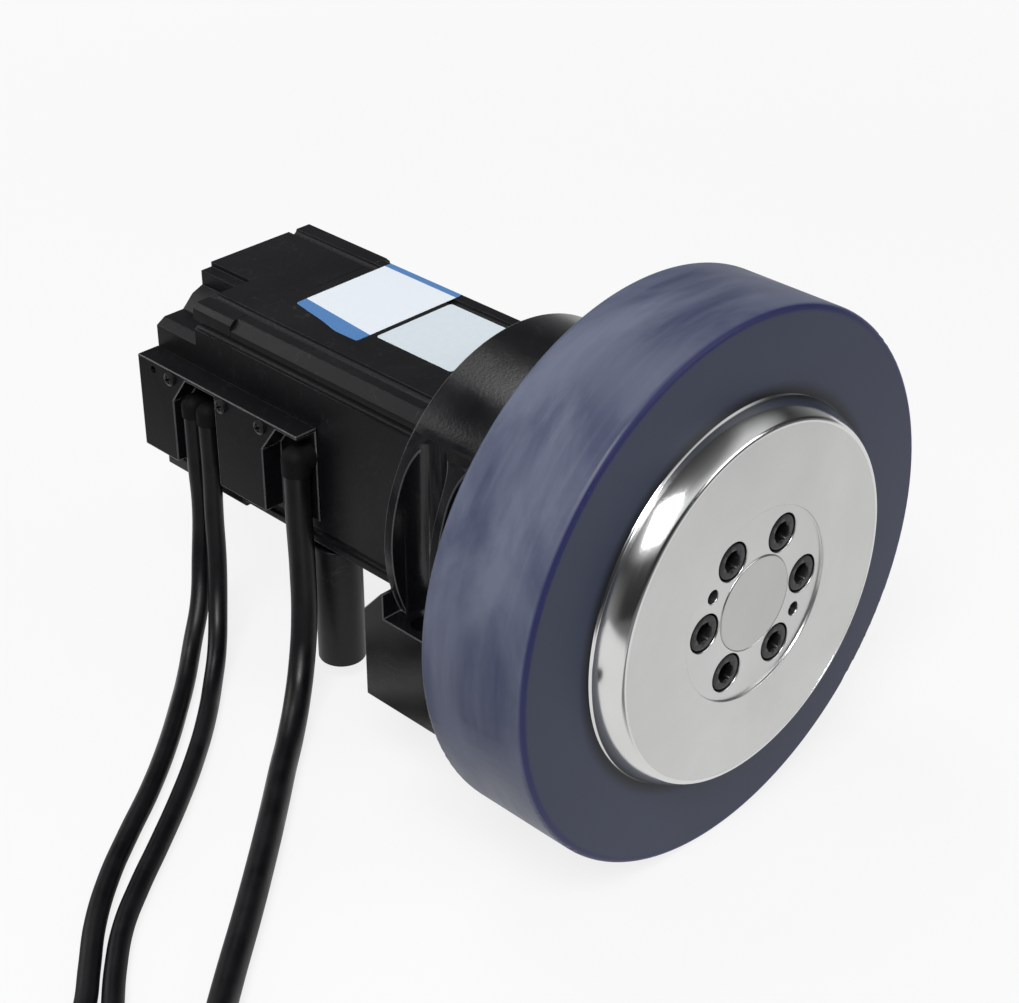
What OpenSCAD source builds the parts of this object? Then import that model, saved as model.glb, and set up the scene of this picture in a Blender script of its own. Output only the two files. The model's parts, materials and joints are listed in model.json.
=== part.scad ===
// Drive wheel unit for a guided vehicle: wheel, two-stage planetary gear, servo motor with brake.
// The axle lies along +Y (wheel at the front, motor behind), +Z is up.
// The origin is on the foot's mounting face, in the middle of its four bolt holes.

/* [Wheel] */
// Tyre outside diameter
wheel_d = 200; // [160:1:240]
// Tread width
tread_w = 45; // [40:1:48]
// Rounding of the tread edges
tread_edge_r = 2.5; // [1:0.5:5]
// Hub outside diameter, which the tyre is cast on
hub_d = 139; // [134:1:146]
// How far the hub stands out of the tyre's face
hub_proud = 10.2; // [7:0.1:12]
// Rounding of the hub's front edge
hub_edge_r = 5; // [3:0.5:6]
// Thickness of the hub's front plate
hub_plate_t = 18.2; // [17:0.1:19]
// Diameter of the shallow recess round the hub screws
recess_d = 70; // [66:1:80]
// Depth of that recess
recess_depth = 1; // [0.5:0.1:2]

/* [Hub screws] */
// Number of hub screws
hub_screw_n = 6; // [6:1:6]
// Diameter of the circle that the hub screws stand on
hub_bolt_d = 50; // [48:1:52]
// Hub screw thread
hub_screw_d = 8; // [6:1:8]
// Diameter of the two jacking holes between the screws
jack_d = 5; // [3:0.5:6]

/* [Gear housing] */
// Outside diameter of the round housing
housing_d = 127; // [124:1:132]
// Length of the housing behind the bearing nose
housing_len = 45; // [44:1:50]
// Width of the nose's flange outside the part that reaches into the hub
nose_rim_w = 10.5; // [9.5:0.5:11]
// Space between the nose and the hub's rim
nose_gap = 5; // [4:0.5:7]
// Thickness of the nose's flange
nose_flange_t = 7; // [6:0.5:8]
// Space between the tyre and the nose's flange
wheel_gap = 4; // [3:0.5:6]

/* [Foot] */
// Width of the foot
foot_w = 132; // [130:1:140]
// Height of the foot's top face over the mounting face
foot_t = 36.5; // [32:0.5:40]
// How far the foot reaches behind the round housing
foot_back = 9; // [6:0.5:12]
// Radius of the upright screw pockets
pocket_r = 9; // [8:0.5:9.5]
// Distance of the mounting holes from the foot's ends
mount_edge = 8; // [7:0.5:9]
// Spacing of the mounting holes along the axle
mount_y = 22; // [21:0.5:23]
// Diameter of the mounting holes
mount_hole_d = 9; // [6.6:0.1:9]

/* [Gear train] */
// Wall of the ring gear outside its teeth
ring_wall_t = 5.5; // [5:0.1:6]
// Teeth of each sun
sun_z = 18; // [18:1:18]
// Teeth of each planet
planet_z = 27; // [27:1:27]
// Width of the second-stage gears
stage2_w = 12; // [10:0.5:12]
// Width of the first-stage gears
stage1_w = 10; // [8:0.5:10]
// Diameter of the planet pins
pin_d = 10; // [8:0.5:11]
// Space left beside each tooth flank
flank_gap = 0.08; // [0.06:0.01:0.12]

/* [Main bearing] */
// Wall of the nose round the main bearing
nose_wall_t = 8; // [7:0.5:9]
// Height of the main bearing's section
bearing_h = 17.5; // [16:0.5:18]
// Width of the main bearing
bearing_w = 18; // [16:0.5:18]
// Number of balls
ball_n = 12; // [8:1:13]

/* [Motor] */
// Width across the flats of the motor
motor_w = 80; // [80:1:86]
// Size of the cut along the motor case's corners
corner_cut = 4; // [2:0.5:5]
// Width of the grooves along the motor case
groove_w = 4; // [2:0.5:5]
// Length of the motor case
case_len = 98; // [97:1:110]
// Length of the rear cover
cover_len = 46; // [44:1:56]
// Thickness of the motor's front flange
flange_t = 10; // [9:0.5:12]
// Motor shaft diameter
shaft_d = 20; // [17:0.5:20]
// Diameter of the circle that the motor flange's screws stand on
flange_bolt_d = 90; // [88:0.5:91]
// Motor flange screw thread
flange_screw_d = 5; // [4:0.5:5]

/* [Cable box] */
// How far the box stands out of the motor's side
box_t = 10; // [9.5:0.5:14]
// Length of the box
box_len = 93; // [90:1:98]
// Height of the box's outer face
box_h = 39.5; // [36:0.5:44]
// Depth of the cable notches
notch_depth = 9; // [8.6:0.1:9.4]

/* [Cables and posts] */
// Power cable diameter
power_d = 10; // [8:0.5:10]
// Diameter of the encoder cable and the brake cable
signal_d = 7.5; // [5:0.5:8]
// Rest post diameter
post_d = 18.6; // [14:0.2:20]
// Length of the rest posts
post_len = 52; // [40:1:56]

/* [Hidden] */
$fn = 96;

// Overlap of a cutting body past the face that it cuts
cut = 1;
// Running clearance between a shaft and its hole
run = 0.05;
// Space between faces that turn past each other
free = 1;

// Stations along the axle, counted from the tyre's outer face
y_face = -hub_proud;
y_plate = hub_plate_t - hub_proud;
flange_disc_t = 9;
y_flange = y_plate + flange_disc_t;
nose_room = 2;
y_nose = y_flange + nose_room;
seal_w = 7;
y_seal = y_nose + free;
y_bearing = y_seal + seal_w + free;
y_carrier = y_bearing + bearing_w;
y_lip = tread_w + wheel_gap;
y_housing = y_lip + nose_flange_t;
y_rear = y_housing + housing_len;
wall_t = 10;
y_wall = y_rear - wall_t;
carrier_t = 9.5;
gear_room = 1.5;
y_stage2 = y_housing + gear_room;
y_plate1 = y_stage2 + stage2_w + gear_room + free;
plate1_t = 6;
y_stage1 = y_plate1 + plate1_t + gear_room;
y_case = y_rear + flange_t;
y_cover = y_case + case_len;
y_end = y_cover + cover_len;
mount_back = 24;
y_mount = y_rear - mount_back;

// Wheel and output
hub_r = hub_d / 2;
nose_d = housing_d - 2 * nose_rim_w;
hub_in_r = nose_d / 2 + nose_gap;
spigot_r = 17.2;
spigot_sink = 0.8;
output_r = 44;
bearing_d = nose_d - 2 * nose_wall_t;
bearing_bore_d = bearing_d - 2 * bearing_h;
track_r = (bearing_d + bearing_bore_d) / 4;
ball_d = bearing_h / 1.75;
ball_play = 0.3;
cage_t = 2;
cage_w = 3;
nose_bore_r = bearing_d / 2;
journal_step = 3.5;
journal_r = bearing_bore_d / 2 + journal_step;
seal_wall = 4;
seal_r = nose_bore_r - seal_wall;
screw_head_d = hub_screw_d * 1.625;
screw_sink = 1.3;
bore_gap = 0.4;
head_gap = 0.5;
y_seat = y_face + screw_sink + hub_screw_d;
screw_reach = 7;
jack_angle = 30;
stub_r = 14;

// Gear train: the ring is fixed, the carriers turn
pressure = 20;
ring_z = sun_z + 2 * planet_z;
tooth_root = 1.25;
ring_lip = 1.475;
ring_r = nose_bore_r + ring_lip;
ring_root_r = ring_r - ring_wall_t;
// The module follows from the room for the ring gear
gear_m = ring_root_r / (ring_z / 2 + tooth_root);
ring_tip_r = gear_m * (ring_z / 2 - 1);
orbit_r = gear_m * (sun_z + planet_z) / 2;
carrier_room = 1.5;
carrier_r = ring_tip_r - carrier_room;
pin_sink = 1;
stub_share = 0.7;
hub_stub_r = stub_share * gear_m * (sun_z / 2 - tooth_root);
planet_n = 3;
nose_screw_in = 6.5;
nose_bolt_r = housing_d / 2 - nose_screw_in;
nose_screw_d = 5;
nose_head_r = 4.25;
nose_reach = 9;
nose_angles = [45, 90, 135, 225, 270, 315];

// Foot: its mounting face is level with the bottom of the round housing
axle_h = housing_d / 2;
foot_z = foot_t - axle_h;
mount_x = foot_w - 2 * mount_edge;
pocket_wall = 2.525;
pocket_x = ring_r + pocket_wall + pocket_r;
sides = [for (sx = [-1, 1], sy = [-1, 1]) [sx, y_mount + sy * mount_y / 2]];
slope = 10;
motor_room = 0.5;

// Motor
half = motor_w / 2;
cover_cut = corner_cut / 2;
groove_x = 29.5;
groove_z = 31.5;
case_wall = 2.5;
case_bore_r = half - case_wall;
spigot_t = 6;
pilot_r = 35;
pilot_t = 6;
shaft_r = shaft_d / 2;
front_bearing_r = 23.5;
front_bearing_w = 14;
rear_bearing_r = 20;
rear_bearing_w = 12;
flange_at = flange_bolt_d / 2 / sqrt(2);
flange_head_r = flange_screw_d * 0.85;
bearing_set = 3;
boss_wall = 4;
stator_back = 19;
y_stator = y_case + stator_back;
winding_gap = 2.5;
winding_len = 9;
shield_room = 5;
shield_end = 7;
stator_len = case_len - stator_back - winding_len - shield_room - rear_bearing_w - shield_end;
stator_r = 22;
rotor_r = 20;
winding_r = case_bore_r - winding_gap;
magnet_t = 1.4;
y_shield = y_stator + stator_len + winding_len + shield_room;
y_brake = y_shield + rear_bearing_w;
brake_len = 14;
brake_r = 32;
y_disc = y_brake + brake_len + free;
disc_t = 4;
disc_r = 30;
encoder_room = 6;
y_encoder = y_disc + disc_t + encoder_room;
encoder_t = 2;
encoder_r = 24;
shaft_end = y_encoder + 2 * encoder_t;
board_t = 2;
board_y = shaft_end + board_t;
cover_r = 34;
cover_ledge = 3;
cover_back_t = 4;
cover_screw_at = 33;
cover_screw_d = 4;
cover_head_r = 3.5;
cover_reach = 10;
// Depth of the screw wells and of the corner recess in the rear cover
cover_sink = 24;
y_well = y_end - cover_sink;
// Corner recess over the cable box, as [x, z] steps from the side to the top
recess_steps = [[-36, 25], [-27, 25], [-22, 30], [-17, 32], [-17, 38], [-12, 38]];
recess_low = 22;

// Cable box: outer face, notches and screws
box_x = half + box_t;
box_top = 14;
box_low = box_top - box_h;
y_box = y_end - box_len;
notch_x = box_x - notch_depth;
roof_t = 1.5;
notch_top = box_top - roof_t;
notch_knee = 1;
notch_slant = 8.5;
rear_notch_back = 20.5;
rear_notch_len = 25.5;
rear_notch = [y_end - rear_notch_back - rear_notch_len, y_end - rear_notch_back];
front_notch_len = 20;
front_notch = [y_box, y_box + front_notch_len];
box_screw_z = 10.5;
rear_screw_back = 20;
mid_screw_back = 50.5;
front_screw_back = 73;
box_screw_y = [y_end - rear_screw_back, y_end - mid_screw_back, y_end - front_screw_back];
box_screw_r = 2.8;
box_head_t = 1.8;
box_shank_r = 1.5;
box_shank_len = 7;
// Small tapped hole at the box's rear corner
box_hole_back = 9.5;
box_hole_y = y_end - box_hole_back;
box_hole_depth = 5;
cable_drop = 5;
cable_z = notch_knee - cable_drop;
boot_wall = 0.5;

// Cable routes: points as [x, y] from the cable's exit and height over the floor.
// Each drops from its notch to the floor that the tyre stands on, then runs along it to its plug.
floor_z = -wheel_d / 2;
exit_h = cable_z - floor_z;
power_out = 1.5;
power_from_front = 5;
power_exit = [power_d / 2 - box_x - power_out, y_box + power_from_front];
power_h = power_d / 2;
power_points = [[0, 0, exit_h], [0, 0, 75], [-0.5, -1, 55], [-3.5, -4, 36], [-9.5, -8.5, 21],
    [-18.5, -15.5, 11], [-29.5, -24.5, 6], [-43.5, -36.5, power_h], [-63.5, -54.5, power_h],
    [-83.5, -72, power_h], [-103.5, -89, power_h], [-123.5, -105.5, power_h], [-138.5, -118.5, 6],
    [-148.5, -128, 8.5], [-155.5, -135, 9], [-162.5, -142, 9]];
signal_h = signal_d / 2;
signal_in = 0.25;
encoder_back = 27;
brake_back = 36;
encoder_exit = [signal_d / 2 - box_x + signal_in, y_end - encoder_back];
encoder_points = [[0, 0, exit_h], [0, 0, 75], [-0.5, -1, 55], [-4, -3, 36], [-11, -9, 20],
    [-21.5, -16.5, 9], [-32.5, -26.5, 4.5], [-47.5, -40.5, signal_h], [-66, -57, signal_h],
    [-85.5, -72.5, signal_h], [-106, -87, signal_h], [-124, -100.5, signal_h], [-141, -116, signal_h],
    [-155, -132, signal_h], [-166, -145, 4.5], [-177, -155.5, 6], [-190, -163.5, 7], [-202, -169, 7],
    [-210, -172.5, 7]];
brake_exit = [encoder_exit[0], y_end - brake_back];
brake_points = [[0, 0, exit_h], [0, 0, 75], [-1, -0.5, 55], [-3.5, -3.5, 37], [-9, -9, 21],
    [-18, -18.5, 10], [-29, -29, 4.5], [-43, -43, signal_h], [-62, -60, signal_h],
    [-81, -75, signal_h], [-101, -89.5, signal_h], [-119.5, -102.5, signal_h], [-135.5, -115, signal_h],
    [-149, -129, signal_h], [-160, -142.5, 4.5], [-170, -156, 6.5], [-176, -164, 7], [-181, -170.5, 7]];
function laid(from, points) = [for (p = points) [from[0] + p[0], from[1] + p[1], floor_z + p[2]]];
power_route = laid(power_exit, power_points);
encoder_route = laid(encoder_exit, encoder_points);
brake_route = laid(brake_exit, brake_points);
route_side = [0.67, -0.74, 0];
cable_sides = 10;
plug_len = 34;
plug_nose = 8;
nose_share = 0.8;
power_plug_w = 22;
power_plug_h = 18;
signal_plug_w = 16;
signal_plug_h = 14;

// Rest posts
post_x = 30;
post_back = 54.5;
post_y = y_case + post_back;

module place() {
    translate([0, -y_mount, axle_h]) children();
}

module along(y) {
    translate([0, y, 0]) rotate([-90, 0, 0]) children();
}

module disc(y0, y1, r) {
    along(y0) cylinder(h = y1 - y0, r = r);
}

module ring(y0, y1, ro, ri) {
    along(y0) difference() {
        cylinder(h = y1 - y0, r = ro);
        translate([0, 0, -cut]) cylinder(h = y1 - y0 + 2 * cut, r = ri);
    }
}

module around(n, r, start = 0) {
    for (i = [0 : n - 1]) rotate([0, start + i * 360 / n, 0]) translate([r, 0, 0]) children();
}

module at_nose_screws() {
    for (a = nose_angles) rotate([0, a, 0]) translate([nose_bolt_r, 0, 0]) children();
}

module corners(at) {
    for (sx = [-1, 1], sz = [-1, 1]) translate([sx * at, 0, sz * at]) children();
}

// Socket head screw with its head at y0 and its point at y1, head towards -Y when y1 > y0
module socket_screw(y0, y1, d, head_r) {
    way = y1 > y0 ? 1 : -1;
    translate([0, y0, 0]) rotate([-90 * way, 0, 0]) difference() {
        union() {
            cylinder(h = d, r = head_r);
            cylinder(h = abs(y1 - y0), r = d / 2);
        }
        translate([0, 0, -cut]) cylinder(h = d / 2 + cut, r = d * 0.46, $fn = 6);
    }
}

// Angle between the middle of a tooth and its flank at radius r
function inv(a) = tan(a) * 180 / PI - a;
function flank(z, r, gap) =
    let (rp = gear_m * z / 2, rb = rp * cos(pressure), a = r > rb ? acos(rb / r) : 0)
    90 / z - gap / rp * 180 / PI + inv(pressure) - inv(a);
function polar(r, a) = [r * cos(a), r * sin(a)];
function tooth(z, radii, gap, i) = concat(
    [for (r = radii) polar(r, i * 360 / z - flank(z, r, gap))],
    [for (k = [len(radii) - 1 : -1 : 0]) polar(radii[k], i * 360 / z + flank(z, radii[k], gap))]);
function teeth(z, radii, gap) = [for (i = [0 : z - 1]) each tooth(z, radii, gap, i)];
function gear_radii(z) = let (rp = gear_m * z / 2)
    [rp - tooth_root * gear_m, rp - 0.4 * gear_m, rp + 0.35 * gear_m, rp + gear_m];

module gear(z, w, bore_r) {
    difference() {
        linear_extrude(height = w) polygon(teeth(z, gear_radii(z), flank_gap));
        translate([0, 0, -cut]) cylinder(h = w + 2 * cut, r = bore_r);
    }
}

module planet(y, w, i) {
    along(y) rotate([0, 0, i * 360 / planet_n]) translate([orbit_r, 0, 0])
        gear(planet_z, w, pin_d / 2 + run);
}

module at_pins() {
    for (i = [0 : planet_n - 1]) rotate([0, i * 360 / planet_n, 0])
        translate([orbit_r, 0, 0]) children();
}

// Motor section: a square with cut corners, and the same with a round groove beside each corner
module motor_section(c) {
    e = half - c;
    polygon([[-e, -half], [e, -half], [half, -e], [half, e],
        [e, half], [-e, half], [-half, e], [-half, -e]]);
}

module grooved_section(c) {
    difference() {
        motor_section(c);
        for (sx = [-1, 1], sz = [-1, 1]) {
            translate([sx * groove_x, sz * half]) circle(d = groove_w);
            translate([sx * half, sz * groove_z]) circle(d = groove_w);
        }
    }
}

// Tube swept along a route: rings stand square to the route, joined by flat bands
function unit(v) = v / norm(v);
function heading(p, i) = unit(p[min(i + 1, len(p) - 1)] - p[max(i - 1, 0)]);
function ring_at(p, i, r) =
    let (t = heading(p, i), u = unit(cross(t, route_side)), v = cross(t, u))
    [for (k = [0 : cable_sides - 1])
        p[i] + r * (cos(k * 360 / cable_sides) * u + sin(k * 360 / cable_sides) * v)];
module cable(p, d) {
    n = cable_sides;
    last = (len(p) - 1) * n;
    points = [for (i = [0 : len(p) - 1]) each ring_at(p, i, d / 2)];
    bands = [for (i = [0 : len(p) - 2], k = [0 : n - 1], h = [0, 1])
        let (a = i * n + k, b = i * n + (k + 1) % n)
        h == 0 ? [a, a + n, b] : [b, a + n, b + n]];
    ends = [[for (k = [0 : n - 1]) k], [for (k = [n - 1 : -1 : 0]) last + k]];
    polyhedron(points = points, faces = concat(bands, ends));
}

// Cable plug: a body with a narrower mating nose, in line with the cable's last stretch
module plug(p, w, h) {
    e = p[len(p) - 1];
    t = e - p[len(p) - 2];
    translate(e) rotate([0, 0, atan2(t[1], t[0])]) {
        translate([0, -w / 2, -h / 2]) cube([plug_len, w, h]);
        translate([plug_len, -w * nose_share / 2, -h * nose_share / 2])
            cube([plug_nose, w * nose_share, h * nose_share]);
    }
}

module tyre() {
    r = wheel_d / 2;
    e = tread_edge_r;
    color("midnightblue") along(0) rotate_extrude() union() {
        translate([hub_r, 0]) square([r - e - hub_r, tread_w]);
        translate([hub_r, e]) square([r - hub_r, tread_w - 2 * e]);
        translate([r - e, e]) circle(r = e);
        translate([r - e, tread_w - e]) circle(r = e);
    }
}

module wheel_hub() {
    e = hub_edge_r;
    color("silver") difference() {
        along(0) rotate_extrude() difference() {
            union() {
                translate([spigot_r, y_face]) square([hub_r - e - spigot_r, hub_plate_t]);
                translate([spigot_r, y_face + e]) square([hub_r - spigot_r, hub_plate_t - e]);
                translate([hub_r - e, y_face + e]) circle(r = e);
                translate([hub_in_r, 0]) square([hub_r - hub_in_r, tread_w]);
            }
            translate([0, y_face - cut]) square([recess_d / 2, recess_depth + cut]);
        }
        around(hub_screw_n, hub_bolt_d / 2) {
            disc(y_face - cut, y_seat, screw_head_d / 2 + head_gap);
            disc(y_face - cut, y_plate + cut, hub_screw_d / 2 + bore_gap);
        }
        around(2, hub_bolt_d / 2, jack_angle) disc(y_face - cut, y_plate + cut, jack_d / 2);
    }
}

module hub_screws() {
    color("dimgray") around(hub_screw_n, hub_bolt_d / 2)
        socket_screw(y_face + screw_sink, y_plate + screw_reach, hub_screw_d, screw_head_d / 2);
}

module output_flange() {
    color("gainsboro") difference() {
        union() {
            disc(y_face + spigot_sink * recess_depth, y_plate, spigot_r);
            disc(y_plate, y_flange, output_r);
            disc(y_flange, y_bearing, journal_r);
            disc(y_bearing, y_carrier, bearing_bore_d / 2);
            disc(y_carrier, y_carrier + carrier_t, stub_r);
        }
        around(hub_screw_n, hub_bolt_d / 2) disc(y_plate - cut, y_plate + screw_reach, hub_screw_d / 2);
    }
}

module output_carrier() {
    color("slategray") difference() {
        disc(y_carrier, y_carrier + carrier_t, carrier_r);
        disc(y_carrier - cut, y_carrier + carrier_t + cut, stub_r);
        at_pins() disc(y_carrier + 2 * pin_sink, y_carrier + carrier_t + cut, pin_d / 2);
    }
}

module carrier_pins() {
    color("lightsteelblue") at_pins()
        disc(y_carrier + 2 * pin_sink, y_stage2 + stage2_w + free, pin_d / 2);
}

// Ball track: a groove of the ball's radius plus the play
y_balls = y_bearing + bearing_w / 2;
module ball_track() {
    along(y_balls) rotate_extrude() translate([track_r, 0]) circle(r = ball_d / 2 + ball_play);
}

module main_bearing_inner() {
    color("lightgray") difference() {
        ring(y_bearing, y_carrier, track_r - ball_d / 4, bearing_bore_d / 2);
        ball_track();
    }
}

module main_bearing_outer() {
    color("lightgray") difference() {
        ring(y_bearing, y_carrier, bearing_d / 2, track_r + ball_d / 4);
        ball_track();
    }
}

module main_bearing_balls() {
    color("goldenrod") {
        around(ball_n, track_r) translate([0, y_balls, 0]) sphere(d = ball_d);
        ring(y_balls - cage_w / 2, y_balls + cage_w / 2, track_r + cage_t / 2, track_r - cage_t / 2);
    }
}

module output_seal() {
    color("black") ring(y_seal, y_seal + seal_w, seal_r, journal_r + run);
}

module bearing_nose() {
    color("dimgray") difference() {
        union() {
            disc(y_nose, y_housing, nose_d / 2);
            disc(y_lip, y_housing, housing_d / 2);
        }
        disc(y_nose - cut, y_housing, seal_r);
        disc(y_bearing, y_housing + cut, nose_bore_r);
        at_nose_screws() {
            disc(y_lip - cut, y_lip + nose_screw_d, nose_head_r + head_gap);
            disc(y_lip - cut, y_housing + cut, nose_screw_d / 2 + bore_gap);
        }
    }
}

module nose_screws() {
    color("dimgray") at_nose_screws()
        socket_screw(y_lip, y_housing + nose_reach, nose_screw_d, nose_head_r);
}

module gear_housing() {
    color([0.16, 0.16, 0.17]) difference() {
        union() {
            disc(y_housing, y_rear, housing_d / 2);
            translate([-foot_w / 2, y_housing, -axle_h]) cube([foot_w, housing_len, foot_t]);
            translate([-foot_w / 2, 0, 0]) rotate([90, 0, 90]) linear_extrude(height = foot_w)
                polygon([[y_rear - cut, foot_z], [y_rear - cut, foot_z + slope], [y_rear, foot_z + slope],
                    [y_rear + foot_back, foot_z], [y_rear + foot_back, -axle_h], [y_rear - cut, -axle_h]]);
        }
        disc(y_housing - cut, y_wall, ring_r);
        disc(y_wall - cut, y_rear + cut, pilot_r);
        corners(flange_at) disc(y_wall + 1, y_rear + cut, flange_screw_d / 2);
        at_nose_screws() disc(y_housing - cut, y_housing + nose_reach, nose_screw_d / 2);
        translate([-half - motor_room, y_rear, -half - motor_room])
            cube([motor_w + 2 * motor_room, foot_back + cut, motor_w]);
        for (p = sides) {
            translate([p[0] * pocket_x, p[1], foot_z]) cylinder(h = axle_h + housing_d, r = pocket_r);
            translate([p[0] > 0 ? pocket_x : -pocket_x - foot_w, p[1] - pocket_r, foot_z])
                cube([foot_w, 2 * pocket_r, axle_h + housing_d]);
            translate([p[0] * mount_x / 2, p[1], -axle_h - cut])
                cylinder(h = foot_t + 2 * cut, r = mount_hole_d / 2);
        }
    }
}

module ring_gear() {
    rp = gear_m * ring_z / 2;
    radii = [rp - 0.9 * gear_m, rp - 0.2 * gear_m, rp + 0.5 * gear_m, rp + tooth_root * gear_m];
    color("gray") along(y_housing) difference() {
        cylinder(h = y_wall - y_housing, r = ring_r);
        translate([0, 0, -cut]) linear_extrude(height = y_wall - y_housing + 2 * cut)
            polygon(teeth(ring_z, radii, -flank_gap));
    }
}

module planet2_a() { color("tan") planet(y_stage2, stage2_w, 0); }
module planet2_b() { color("tan") planet(y_stage2, stage2_w, 1); }
module planet2_c() { color("tan") planet(y_stage2, stage2_w, 2); }
module planet1_a() { color("wheat") planet(y_stage1, stage1_w, 0); }
module planet1_b() { color("wheat") planet(y_stage1, stage1_w, 1); }
module planet1_c() { color("wheat") planet(y_stage1, stage1_w, 2); }

module sun2_gear() {
    color("peru") along(y_stage2) gear(sun_z, y_plate1 - y_stage2, hub_stub_r);
}

module stage1_carrier() {
    color("slategray") difference() {
        union() {
            disc(y_plate1, y_plate1 + plate1_t, carrier_r - free);
            disc(y_stage2, y_plate1, hub_stub_r);
        }
        at_pins() disc(y_plate1 + pin_sink, y_plate1 + plate1_t + cut, pin_d / 2);
    }
}

module stage1_pins() {
    color("lightsteelblue") at_pins()
        disc(y_plate1 + pin_sink, y_stage1 + stage1_w + free, pin_d / 2);
}

module sun1_gear() {
    color("peru") along(y_stage1) gear(sun_z, stage1_w, hub_stub_r);
}

module motor_shaft() {
    color("lightgray") {
        disc(y_stage1, y_stage1 + stage1_w, hub_stub_r);
        disc(y_stage1 + stage1_w, shaft_end, shaft_r);
    }
}

module rotor_core() {
    color("dimgray") ring(y_stator, y_stator + stator_len, rotor_r, shaft_r);
}

module rotor_magnets() {
    color("gray") ring(y_stator + free, y_stator + stator_len - free, rotor_r + magnet_t, rotor_r);
}

module brake_disc() {
    color("darkolivegreen") ring(y_disc, y_disc + disc_t, disc_r, shaft_r);
}

module encoder_disc() {
    color("lightcyan") ring(y_encoder, y_encoder + encoder_t, encoder_r, shaft_r);
}

module motor_flange() {
    color([0.16, 0.16, 0.17]) difference() {
        union() {
            along(y_rear) linear_extrude(height = flange_t) motor_section(corner_cut);
            disc(y_rear - pilot_t, y_rear, pilot_r);
            disc(y_case, y_case + spigot_t, case_bore_r);
            disc(y_case, y_rear + bearing_set + front_bearing_w, front_bearing_r + boss_wall);
        }
        disc(y_rear - pilot_t - cut, y_case + front_bearing_w, shaft_r + free);
        disc(y_rear + bearing_set, y_case + front_bearing_w + cut, front_bearing_r);
        corners(flange_at) {
            disc(y_rear - cut, y_case + cut, flange_screw_d / 2 + bore_gap);
            disc(y_case - flange_screw_d, y_case + cut, flange_head_r + head_gap);
        }
    }
}

module flange_screws() {
    color("silver") corners(flange_at)
        socket_screw(y_case, y_wall + 2 * pin_sink, flange_screw_d, flange_head_r);
}

module front_bearing() {
    color("lightgray")
        ring(y_rear + bearing_set, y_rear + bearing_set + front_bearing_w, front_bearing_r, shaft_r + run);
}

module motor_case() {
    color([0.13, 0.13, 0.14]) difference() {
        along(y_case) linear_extrude(height = case_len) grooved_section(corner_cut);
        disc(y_case - cut, y_cover + cut, case_bore_r);
        corners(cover_screw_at) disc(y_cover - cover_reach, y_cover + cut, cover_screw_d / 2);
    }
}

module stator_core() {
    color("slategray") ring(y_stator, y_stator + stator_len, case_bore_r, stator_r);
}

module windings() {
    color("chocolate") {
        ring(y_stator - winding_len, y_stator, winding_r, stator_r + 2 * free);
        ring(y_stator + stator_len, y_stator + stator_len + winding_len, winding_r, stator_r + 2 * free);
    }
}

module rear_shield() {
    color("silver") ring(y_shield, y_brake, case_bore_r, rear_bearing_r);
}

module rear_bearing() {
    color("lightgray") ring(y_shield, y_brake, rear_bearing_r, shaft_r + run);
}

module brake_coil() {
    color("saddlebrown") ring(y_brake, y_brake + brake_len, brake_r, shaft_r + 2 * free);
}

module rear_cover() {
    color([0.13, 0.13, 0.14]) difference() {
        along(y_cover) linear_extrude(height = cover_len) grooved_section(cover_cut);
        disc(y_cover - cut, board_y + board_t, cover_r);
        disc(y_cover - cut, y_end - cover_back_t, cover_r - cover_ledge);
        corners(cover_screw_at) {
            disc(y_cover - cut, y_end + cut, cover_screw_d / 2 + bore_gap);
            disc(y_well, y_end + cut, cover_head_r + head_gap);
        }
        translate([0, y_end + cut, 0]) rotate([90, 0, 0]) linear_extrude(height = cover_sink + cut)
            polygon(concat([[-half - cut, recess_low]], recess_steps,
                [[recess_steps[5][0], half + cut], [-half - cut, half + cut]]));
    }
}

module cover_screws() {
    color("silver") corners(cover_screw_at)
        socket_screw(y_well + cover_screw_d, y_cover - cover_reach, cover_screw_d, cover_head_r);
}

module encoder_board() {
    color("seagreen") disc(board_y, board_y + board_t, cover_r);
}

// Notch in the box's outer face, open below, with its rear top corner slanted
module notch(y0, y1) {
    depth = notch_depth + cut;
    translate([-box_x - cut, 0, 0]) rotate([90, 0, 90]) linear_extrude(height = depth)
        polygon([[y0, box_low - cut], [y1, box_low - cut], [y1, notch_knee],
            [y1 - notch_slant, notch_top], [y0, notch_top]]);
}

module cable_box() {
    color([0.13, 0.13, 0.14]) difference() {
        translate([-box_x, y_box, box_low]) cube([box_t, box_len, box_h]);
        notch(rear_notch[0], rear_notch[1]);
        notch(front_notch[0] - cut, front_notch[1]);
        for (y = box_screw_y) translate([-box_x - cut, y, box_screw_z]) rotate([0, 90, 0])
            cylinder(h = box_shank_len + cut, r = box_shank_r);
        translate([-box_x - cut, box_hole_y, box_screw_z]) rotate([0, 90, 0])
            cylinder(h = box_hole_depth + cut, r = box_shank_r);
    }
}

module box_screws() {
    color("silver") for (y = box_screw_y) translate([-box_x, y, box_screw_z]) rotate([0, 90, 0]) {
        translate([0, 0, -box_head_t]) cylinder(h = box_head_t, r = box_screw_r);
        cylinder(h = box_shank_len, r = box_shank_r);
    }
}

// Grommet: a moulded elbow from the notch's back wall down to the cable
module grommet(exit, d) {
    r = d / 2 + boot_wall;
    translate([exit[0], exit[1], cable_z]) {
        cylinder(h = r, r = r);
        translate([0, 0, r]) sphere(r = r);
        translate([0, 0, r]) rotate([0, 90, 0]) cylinder(h = -notch_x - exit[0], r = r);
    }
}

module cable_grommets() {
    color("black") {
        grommet(power_exit, power_d);
        grommet(encoder_exit, signal_d);
        grommet(brake_exit, signal_d);
    }
}

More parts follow.
